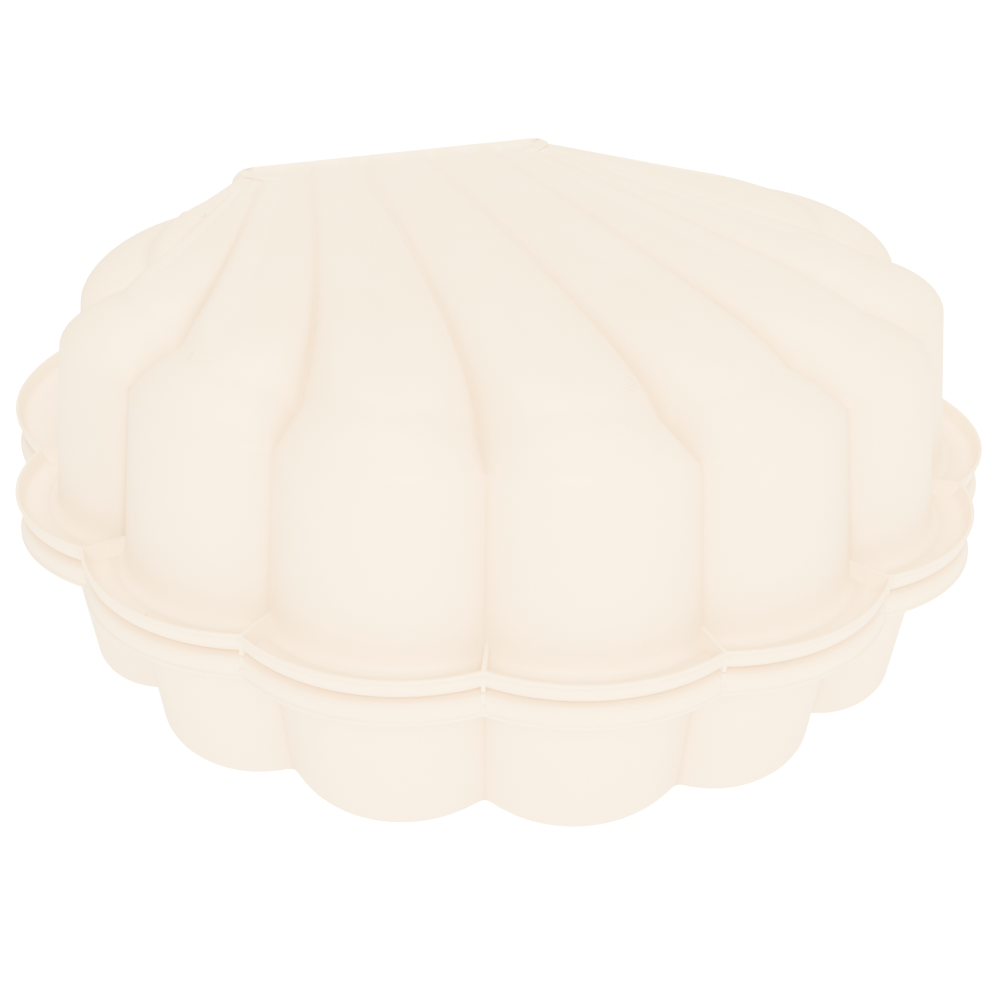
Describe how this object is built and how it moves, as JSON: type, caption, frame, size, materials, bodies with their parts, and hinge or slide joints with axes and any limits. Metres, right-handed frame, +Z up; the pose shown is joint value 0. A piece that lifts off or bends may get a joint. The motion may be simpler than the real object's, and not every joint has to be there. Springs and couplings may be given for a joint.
{
  "type": "sandbox with cover",
  "caption": "Scallop-shell sandbox of two turned-over tub mouldings, the upper one resting rim to rim as a lift-off cover.",
  "frame": {"origin": "centre of the bounding box in plan, on the ground plane under the base", "axes": "+X across the widest lobes, +Y from the front lobes toward the straight back edge, +Z up"},
  "size_m": [0.8687, 0.7829, 0.364],
  "materials": {
    "moulding_base": "satin",
    "moulding_cover": "satin"
  },
  "bodies": {
    "base": {"base_shell": "moulding_base"},
    "cover": {"cover_shell": "moulding_cover"}
  },
  "joints": [
    {"name": "cover_lift", "type": "slide", "parent": "base", "child": "cover", "axis": [0, 0, 1], "range_m": [0, 0.5]}
  ]
}
